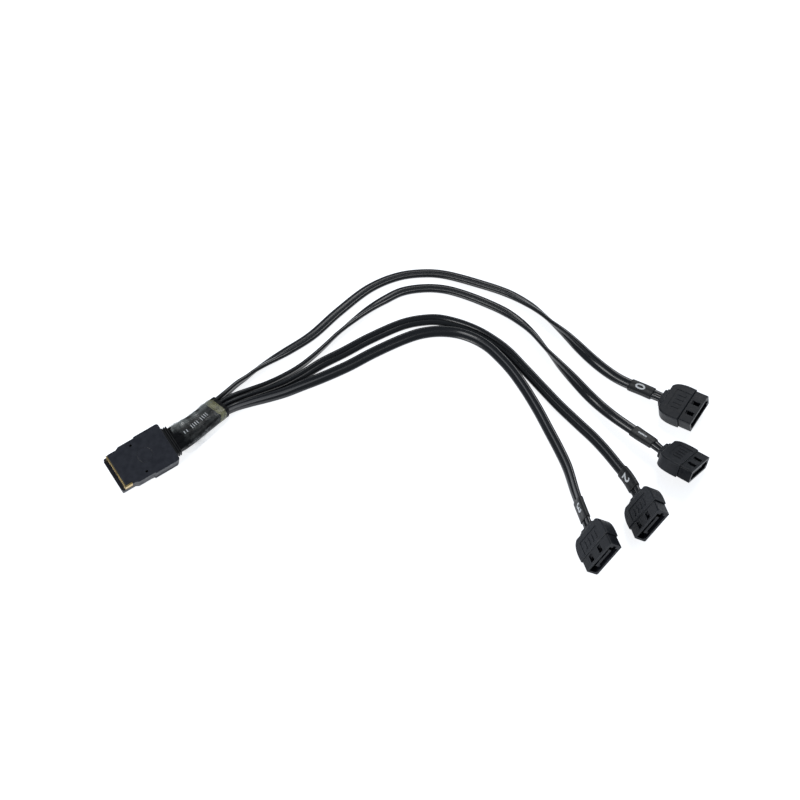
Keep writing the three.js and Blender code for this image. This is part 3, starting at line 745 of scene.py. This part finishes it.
bead_from, bead_to = sleeve_end - 4.6, sleeve_end - 0.2


def bead_section(distance, k):
    share = (distance - bead_from) / (bead_to - bead_from)
    swell = 0.5 * math.sin(math.pi * min(max(share, 0), 1)) ** 0.4
    return soft_box(bundle_width + 0.1 + swell, bundle_height + 0.1 + swell, 2.2, 8)


steps = np.linspace(bead_from, bead_to, 16)
bead = lofted("adhesive_bead", swept_rings(bundle_line, steps, bead_section), smooth=50)
yellow_adhesive = clouded(
    finish_of("yellow_adhesive", IOR=1.5),
    ((0.2, 0.195, 0.085), (0.62, 0.6, 0.34)),
    0.0045,
    rough=(0.12, 0.3),
    bump=(0.0016, 0.0003, 0.6),
)
gaps = add_node(yellow_adhesive, "ShaderNodeTexNoise", Scale=330.0, Detail=2.0, Distortion=0.5)
spread = add_node(yellow_adhesive, "ShaderNodeMapRange", To_Min=0.08, To_Max=0.9)
spread.inputs["From Min"].default_value = 0.44
spread.inputs["From Max"].default_value = 0.56
join_nodes(
    yellow_adhesive,
    (gaps.outputs["Fac"], spread.inputs["Value"]),
    (spread.outputs["Result"], yellow_adhesive.node_tree.nodes["Principled BSDF"].inputs["Alpha"]),
)
dress(bead, yellow_adhesive)
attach(bead, "root")

# Sleeve marks. A row of small plain strokes in white ink, printed along the top of the clear
# film. They stand where the film carries its print, and spell nothing.
white_ink = clouded(
    finish_of("white_ink"),
    ((0.76, 0.78, 0.8), (0.88, 0.9, 0.92)),
    0.0008,
    rough=(0.45, 0.6),
    bump=(0.0002, 0.00001, 0.4),
)


def film_top(distance, x):
    """A point on the outside of the film's top, x across."""
    upper = film_section(distance, 0)[9:28]
    rise = np.interp(x, [p[0] for p in upper[::-1]], [p[1] for p in upper[::-1]])
    middle, across, above = along_line(bundle_line, [distance])
    return middle[0] + across[0] * x + above[0] * (rise + 0.03)


strokes = [(4.6, 4.95, -0.9, 0.5), (5.9, 6.25, -0.9, 0.5)]
strokes += [
    (start + k * 1.3, start + k * 1.3 + 0.36, -1.1, 0.9)
    for start in (8.8, 15.4)
    for k in range(4)
]
mark_corners, mark_faces = [], []
for run_from, run_to, x_from, x_to in strokes:
    for x in np.linspace(x_from, x_to, 4):
        mark_corners += [film_top(run_from, x), film_top(run_to, x)]
    n = len(mark_corners) - 8
    mark_faces += [(n + k, n + k + 1, n + k + 3, n + k + 2) for k in (0, 2, 4)]
marks = new_piece("sleeve_marks", mark_corners, mark_faces)
print_depth = marks.modifiers.new("print_depth", "SOLIDIFY")
print_depth.thickness = 0.00003
print_depth.offset = 0
dress(marks, white_ink)
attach(marks, "root")

# Ribbons. Four flat black cables, each two round cores in one jacket with a groove between
# them, drawn from the sleeve in wide flat bows to the four drive connectors.
ribbon_routes = [
    [
        [-93.3, 43.8, 4.7, 90], [-88.9, 49.2, 4.4, 96], [-84, 55.8, 3.7, 104],
        [-79.7, 60.5, 3, 114], [-76.2, 64.5, 2.7, 121], [-71.4, 69.1, 2.4, 138],
        [-66.3, 73.6, 1.9, 155], [-60.8, 78.1, 1.6, 168], [-49.4, 87.9, 1.4, 172],
        [-35.9, 104, 1.4, 172], [-20.2, 120, 1.4, 172], [-5.9, 127.7, 1.4, 172],
        [7.1, 129.8, 1.4, 172], [16.9, 128.9, 1.4, 172], [35.1, 122.5, 1.4, 172],
        [49.1, 115.9, 1.6, 168], [59.7, 107.8, 2.1, 150], [65.4, 101.6, 2.5, 130],
        [70.4, 95.1, 2.8, 116], [76.3, 87.9, 2.9, 85], [82.1, 80.3, 2.6, 55],
        [87.9, 73, 2.2, 35], [94, 66.3, 1.9, 20], [99.9, 60.9, 1.9, 11],
        [105.7, 56.7, 2.3, 8], [111, 53.1, 3.1, 8], [116.1, 49.5, 3.8, 8],
        [119.3, 47.3, 4.2, 8],
    ],
    [
        [-91.5, 42.1, 4.7, 90], [-88.3, 45.1, 4.5, 91], [-83.7, 48.3, 4, 92],
        [-77.4, 51.9, 3.3, 95], [-69.5, 56.1, 2.9, 98], [-61.5, 61.1, 2.9, 100],
        [-54.5, 66.7, 2.9, 104], [-47.8, 73.8, 2.9, 108], [-42.2, 80.7, 2.8, 112],
        [-37.2, 87.2, 2.8, 117], [-32.1, 93.1, 2.7, 124], [-21.8, 104.2, 2.1, 150],
        [-13.4, 111.4, 1.6, 168], [-4.4, 117.3, 1.4, 172], [7, 119.6, 1.4, 172],
        [16.7, 118.9, 1.4, 172], [26.3, 115.6, 1.4, 172], [38.4, 109.4, 1.4, 172],
        [47.6, 103.3, 1.6, 168], [54.7, 96.4, 2, 152], [60.3, 89, 2.5, 134],
        [67.1, 77.2, 2.8, 116], [72.2, 68.9, 2.9, 85], [78, 60.2, 2.9, 58],
        [85, 49.8, 2.9, 32], [90.3, 42.8, 3.1, 14], [95.9, 35.5, 4.4, 5],
        [103, 28.1, 5.2, 1], [107.6, 23.3, 5.8, -3], [112.4, 18.6, 6.3, -10],
        [115.8, 14.8, 6.4, -20],
    ],
    [
        [-89.6, 40.4, 4.7, 90], [-87.1, 42.5, 4.5, 90], [-83.2, 45.2, 4, 90],
        [-77.3, 48.5, 3.3, 88], [-69.3, 52.2, 2.9, 82], [-61.3, 56, 2.9, 76],
        [-53.8, 61.1, 2.8, 66], [-43.4, 69.7, 2.5, 50], [-32.8, 76.9, 2.3, 40],
        [-20.2, 85.7, 2.3, 37], [-3.2, 95.2, 2.3, 37], [6.5, 97.6, 2.3, 37],
        [13.6, 97.8, 2.3, 38], [23.1, 95.1, 2.3, 40], [32.4, 90.3, 2.4, 43],
        [39.9, 84.5, 2.5, 46], [47.1, 77.3, 2.5, 48], [55, 66.2, 2.5, 48],
        [62.9, 54.7, 2.5, 48], [70.6, 43.7, 2.5, 48], [79, 32.7, 2.7, 49],
        [85.9, 23.7, 3, 50], [91, 15.4, 3.7, 53], [95.8, 6.3, 4.6, 55],
        [99.3, -1.1, 6, 55], [101.7, -8.2, 7.2, 55], [102.9, -12.1, 7.6, 55],
    ],
    [
        [-87.8, 38.7, 4.7, 90], [-85.7, 40.2, 4.5, 90], [-82.6, 42.3, 3.9, 89],
        [-76.4, 45.2, 3.3, 84], [-68.2, 48.4, 2.9, 76], [-60.6, 51.5, 2.8, 68],
        [-53.1, 55.5, 2.7, 58], [-43.1, 60.8, 2.5, 47], [-30.9, 68, 2.3, 40],
        [-18.2, 76.7, 2.3, 37], [-3.2, 85.5, 2.3, 37], [5, 88.9, 2.3, 37],
        [13.5, 90.3, 2.3, 38], [23, 89.3, 2.3, 40], [31.1, 85.7, 2.4, 43],
        [37.8, 80.4, 2.5, 46], [43.4, 73.5, 2.5, 47], [48.7, 65.6, 2.5, 47],
        [54.2, 55.1, 2.5, 47], [60, 41.9, 2.5, 47], [65.2, 28.1, 2.5, 47],
        [69.1, 17.3, 2.7, 48], [72.2, 6.8, 3.4, 51], [74.7, -7.4, 4.6, 61],
        [76.2, -15.8, 5.9, 69], [77.9, -23.8, 7.2, 69], [79.3, -29.5, 7.7, 58],
    ],
]
ribbon_width, ribbon_thick = 5.6, 2.1
in_bundle, in_boot = 3, 2.6  # hidden lengths at the two ends
jacket_colours = ((0.0055, 0.0063, 0.0085), (0.0095, 0.0106, 0.0138))
ribbon_jacket = black_jacket("ribbon_jacket", jacket_colours, (0.22, 0.3))


def core_rise(x, width, thick, groove):
    """Height of the jacket over its middle at x across: two rounded cores and the groove."""
    core = width / 4
    off = min(abs((abs(x) - core) / core), 1)
    if abs(x) < core:
        return max(thick / 2 * (1 - off**3.2) ** (1 / 2.4), thick / 2 - groove)
    return thick / 2 * (1 - off**2.6) ** (1 / 2.2)


ribbon_lines = []
label_setback, label_length = 4.2, 12.5
for number, points in enumerate(ribbon_routes):
    line = smooth_line(points, before=in_bundle, after=in_boot)
    ribbon_lines.append(line)
    label_end = line["length"] - label_setback

    def ribbon_section(distance, k):
        past = min(max((distance - label_end + 0.5) / 2.5, 0), 1)
        groove = 0.36 + 0.5 * past
        shrink = 1 - 0.05 * past
        width = ribbon_width * shrink
        spots = -np.cos(np.linspace(0, math.pi, 25)) * ribbon_width / 2 * shrink
        spots[12] = 0
        top_side = [(x, core_rise(x, width, ribbon_thick, groove)) for x in spots[1:-1]]
        under = [(x, -y) for x, y in reversed(top_side)]
        return [(spots[0], 0), *top_side, (spots[-1], 0), *under]

    steps = np.linspace(-in_bundle, line["length"] + in_boot, int(line["length"] / 0.9))
    rings = swept_rings(line, steps, ribbon_section)
    ribbon = lofted(f"ribbon_cable_{number}", rings, smooth=50)
    note_run(ribbon, steps, len(rings[0]))
    dress(ribbon, ribbon_jacket)
    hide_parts(f"ribbon_{number}")
    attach(ribbon, "root")

# Number sleeves. A short piece of black shrink tube near each connector, printed in white
# with the number of the port, its top towards the connector.
shrink_tube = clouded(
    finish_of("shrink_tube"),
    ((0.005, 0.0055, 0.0066), (0.0095, 0.0101, 0.0118)),
    0.0015,
    rough=(0.42, 0.58),
    bump=(0.0003, 0.00003, 0.5),
)


def tube_rise(x, half_wide, half_thick):
    off = min(abs(x) / half_wide, 1)
    dip = 0.1 * math.exp(-((x / 0.7) ** 2))
    return half_thick * (1 - off**4) ** 0.4 - dip


def tube_section(grow):
    half_wide, half_thick = ribbon_width / 2 + grow, ribbon_thick / 2 + grow
    spots = -np.cos(np.linspace(0, math.pi, 25)) * half_wide
    top_side = [(x, tube_rise(x, half_wide, half_thick)) for x in spots[1:-1]]
    return [(spots[0], 0), *top_side, (spots[-1], 0), *[(x, -y) for x, y in reversed(top_side)]]


tube_wall, tube_gap, ink_lift = 0.48, 0.08, 0.03
digit_shift = [0.2, 0.0, 0.0, 0.5]
for number, line in enumerate(ribbon_lines):
    end = line["length"] - label_setback
    start = end - label_length
    straight = np.linspace(start + 1, end - 1, 14)
    steps = np.r_[start, start + 0.12, start + 0.35, straight, end - 0.35, end - 0.12, end]
    grows = np.r_[0.28, 0.4, 0.46, np.full(14, tube_wall), 0.46, 0.4, 0.28]
    outer = swept_rings(line, steps, lambda d, k: tube_section(grows[k]))
    inner = swept_rings(line, steps, lambda d, k: tube_section(tube_gap))
    tube = lofted(f"number_sleeve_{number}", outer + inner[::-1], through=True, smooth=50)
    dress(tube, shrink_tube)
    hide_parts(f"label_{number}")
    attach(tube, "root")

    letter = bpy.data.curves.new("letter", "FONT")
    letter.body = str(number)
    letter.align_x = "CENTER"
    letter.size = 7.0
    letter.offset = 0.13
    letter.resolution_u = 6
    holder = bpy.data.objects.new("letter", letter)
    bpy.context.scene.collection.objects.link(holder)
    graph = bpy.context.evaluated_depsgraph_get()
    flat = bpy.data.meshes.new_from_object(holder.evaluated_get(graph))
    bpy.data.objects.remove(holder)
    ink = bmesh.new()
    ink.from_mesh(flat)
    bmesh.ops.triangulate(ink, faces=ink.faces)
    bmesh.ops.subdivide_edges(ink, edges=ink.edges, cuts=1)
    middle_run = (start + end) / 2 - 0.6
    tall = max(v.co.y for v in ink.verts)
    for v in ink.verts:
        x = -v.co.x * 0.92 + digit_shift[number]
        spot, across, above = along_line(line, [middle_run + v.co.y - tall / 2])
        rise = tube_rise(x, ribbon_width / 2 + tube_wall, ribbon_thick / 2 + tube_wall) + ink_lift
        v.co = Vector((spot[0] + across[0] * x + above[0] * rise) / 1000)
    mesh = bpy.data.meshes.new(f"port_number_{number}")
    ink.to_mesh(mesh)
    ink.free()
    mark = bpy.data.objects.new(f"port_number_{number}", mesh)
    bpy.context.scene.collection.objects.link(mark)
    ink_depth = mark.modifiers.new("ink_depth", "SOLIDIFY")
    ink_depth.thickness = 0.00003
    ink_depth.offset = 0
    dress(mark, white_ink)
    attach(mark, "root")
    spots = along_line(line, np.linspace(-in_bundle, line["length"] + in_boot, 220))[0]

# Boots. Each drive connector's rear half is one matt moulding cast over the ribbon's end:
# rounded at the back, with a short collar round the ribbon and a sunk panel on top that
# carries four low plain bars.
boot_height = 7.1
panel_depth = 0.2


def smooth_corner_line(points, steps=6):
    """A softly curved run of plan points through the given ones."""
    line = smooth_line([[x, y, 0, 0] for x, y in points])
    spots = np.linspace(0, line["length"], steps * (len(points) - 1))
    return [tuple(np.interp(d, line["run"], line["places"][:, k]) for k in (0, 1)) for d in spots]


boot_side = [(-11.6, -7.0), (-10.9, -7.9), (-9.3, -9.0), (-6.5, -9.75), (-3.3, -9.95), (0, -9.8)]
side_line = smooth_corner_line(boot_side)
boot_plan = side_line + [(x, -y) for x, y in reversed(side_line)]
boot_top = boot_height / 2
boot = moulded("boot_shape", boot_plan, -boot_top, boot_top, 0.7)
collar_steps = (
    (-10.6, 9.6, 5.8), (-12.3, 9.6, 5.8), (-12.5, 9.2, 5.4),
    (-12.5, 8.5, 4.9), (-13.5, 8.4, 4.8), (-13.7, 8.0, 4.4),
)
collar_rings = []
for x, width, height in collar_steps:
    collar_rings.append([(x, y, z) for y, z in soft_box(width, height, 1.1)])
worked(boot, lofted("collar", collar_rings), "UNION")
panel_plan = [(x - 4.4, y) for x, y in soft_box(7.8, 12, 0.7)]
panel = moulded("cutter", panel_plan, boot_top - panel_depth, boot_top + 3, 0.02)
worked(boot, panel, "DIFFERENCE")
bar_rear, bar_front, bar_side = -6.6, -2.6, 0.4
bars = [
    (bar_rear, bar_front, y - bar_side, y + bar_side, boot_top - 1, boot_top)
    for y in (-3.6, -1.2, 1.2, 3.6)
]
worked(boot, blocks("bars", bars), "UNION")
worked(boot, blocks("cutter", [(-5.3, 1, -8.35, 8.35, -2.3, 2.3)]), "DIFFERENCE")
boot_moulding = clouded(
    finish_of("boot_moulding", Specular_IOR_Level=0.34),
    ((0.0085, 0.0102, 0.0148), (0.0138, 0.0162, 0.022)),
    0.0018,
    rough=(0.4, 0.58),
    bump=(0.0002, 0.00004, 0.7),
)
# Paler plastic for the boot's eased edges: a painted highlight along every edge.
boot_edge_highlight = clouded(
    finish_of("boot_edge_highlight"),
    ((0.026, 0.029, 0.035), (0.05, 0.054, 0.062)),
    0.0015,
    rough=(0.35, 0.5),
)
dress(boot, boot_moulding)

connector_places = [
    placed(131, 39.2, 5.78251, -34.7, 6.6, 8),
    placed(127.3, 6.2, 7.02058, -37, 2, -21.6),
    placed(105.6, -25.9, 11.19688, -78.8, 12, 55),
    placed(82.8, -43.2, 10.96256, -75.8, 10.5, 53.5),
]


def one_each(shape, name, node, edge_highlight_finish):
    """The same moulding in each of the four places."""
    for number, place in enumerate(connector_places):
        piece = bpy.data.objects.new(f"{name}_{number}", shape.data.copy())
        bpy.context.scene.collection.objects.link(piece)
        set_down(piece, place)
        ease_edges(piece, 0.08, edge_highlight_finish)
        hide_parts(f"{node}_{number}")
        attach(piece, "root")
    bpy.data.objects.remove(shape)


one_each(boot, "boot_moulding", "boot", boot_edge_highlight)

# Housings. The front half is a separate smooth moulding pushed into the boot: a shroud with
# two windows in the top, a small ramp in each, steps at the left end of the mouth that key
# it, and an L-shaped tongue that carries the contacts.
mouth_length, mouth_width, mouth_height = 6.4, 18.4, 6.5
wall, floor_at, key_step = 1, 1.2, 1.1
window_spots = (2.5, -3.6)
window_length, window_side, ramp_side = 4.1, 1.1, 1
pitch, contact_width = 1.27, 0.8


def pushed(name, section, x0, x1):
    return lofted(name, [[(x, y, z) for y, z in section] for x in (x0, x1)])


shroud = pushed("housing_shape", soft_box(mouth_width, mouth_height, 0.65, 4), fit / 2, mouth_length)
worked(shroud, blocks("tail", [(-5, 1, -8.2, 8.2, -2.15, 2.15)]), "UNION")
w, h = mouth_width / 2 - wall, mouth_height / 2 - wall
key = [
    (-w + key_step, -h), (w - key_step, -h), (w - key_step, -0.8), (w, -0.8), (w, 0.8),
    (w - key_step, 0.8), (w - key_step, h), (-w, h), (-w, -h + key_step),
]
worked(shroud, pushed("cutter", key, floor_at, mouth_length + 1), "DIFFERENCE")
roof = mouth_height / 2
under_roof = roof - wall - 0.6
windows = [
    (floor_at, floor_at + window_length, y - window_side, y + window_side, under_roof, roof + 1)
    for y in window_spots
]
worked(shroud, blocks("cutter", windows), "DIFFERENCE")
ramp_rear, ramp_foot, ramp_top = floor_at - 0.1, floor_at + 0.45, roof - 0.2
ramp_side_view = ((ramp_rear, under_roof), (ramp_foot, under_roof), (ramp_rear, ramp_top))
for y in window_spots:
    ramp = [(x, yy, z) for yy in (y - ramp_side, y + ramp_side) for x, z in ramp_side_view]
    faces = [(0, 1, 2), (5, 4, 3), (0, 3, 4, 1), (1, 4, 5, 2), (2, 5, 3, 0)]
    worked(shroud, new_piece("ramp", ramp, faces), "UNION")
tongue_rear, tongue_front = 0.7, 5.5
tongue_low, tongue_middle = -0.8, -0.2
tongue_thick, tongue_hook, tongue_margin = 1.2, 1.2, 0.35
tongue_half = (tongue_thick + 6 * pitch + contact_width + 2 * tongue_margin) / 2
left, right = tongue_middle - tongue_half, tongue_middle + tongue_half
tongue = (tongue_rear, tongue_front, left, right, tongue_low, tongue_low + tongue_thick)
worked(shroud, blocks("tongue", [tongue]), "UNION")
hook_low, hook_high = tongue_low - tongue_hook, tongue_low + tongue_thick / 2
hook = (tongue_rear, tongue_front, left, left + tongue_thick, hook_low, hook_high)
worked(shroud, blocks("hook", [hook]), "UNION")
contact_spots = [tongue_middle + tongue_thick / 2 + (i - 3) * pitch for i in range(7)]
slots = [(0.2, 1.7, y - 0.5, y + 0.5, tongue_low - 0.4, tongue_low) for y in contact_spots]
worked(shroud, blocks("cutter", slots), "DIFFERENCE")
housing_moulding = clouded(
    finish_of("housing_moulding", Specular_IOR_Level=0.28),
    ((0.0062, 0.0075, 0.0115), (0.0105, 0.0122, 0.017)),
    0.002,
    rough=(0.3, 0.45),
    bump=(0.0002, 0.00002, 0.5),
)
# Paler plastic for the housing's eased edges: a painted highlight along every edge.
housing_edge_highlight = clouded(
    finish_of("housing_edge_highlight"),
    ((0.022, 0.024, 0.029), (0.06, 0.063, 0.07)),
    0.0012,
    rough=(0.3, 0.45),
)
dress(shroud, housing_moulding)
one_each(shroud, "housing_moulding", "housing", housing_edge_highlight)

# Contacts. Seven narrow plated strips lie under each tongue, their rear ends pressed into
# slots in the floor of the mouth.
plated_strip = clouded(
    finish_of("plated_strip", Metallic=1.0),
    ((0.5, 0.34, 0.12), (0.75, 0.54, 0.2)),
    0.001,
    rough=(0.2, 0.4),
    bump=(0.0004, 0.00001, 0.4),
)
for name, node in nodes.items():
    if name.startswith("contact_"):
        dress(node, plated_strip)
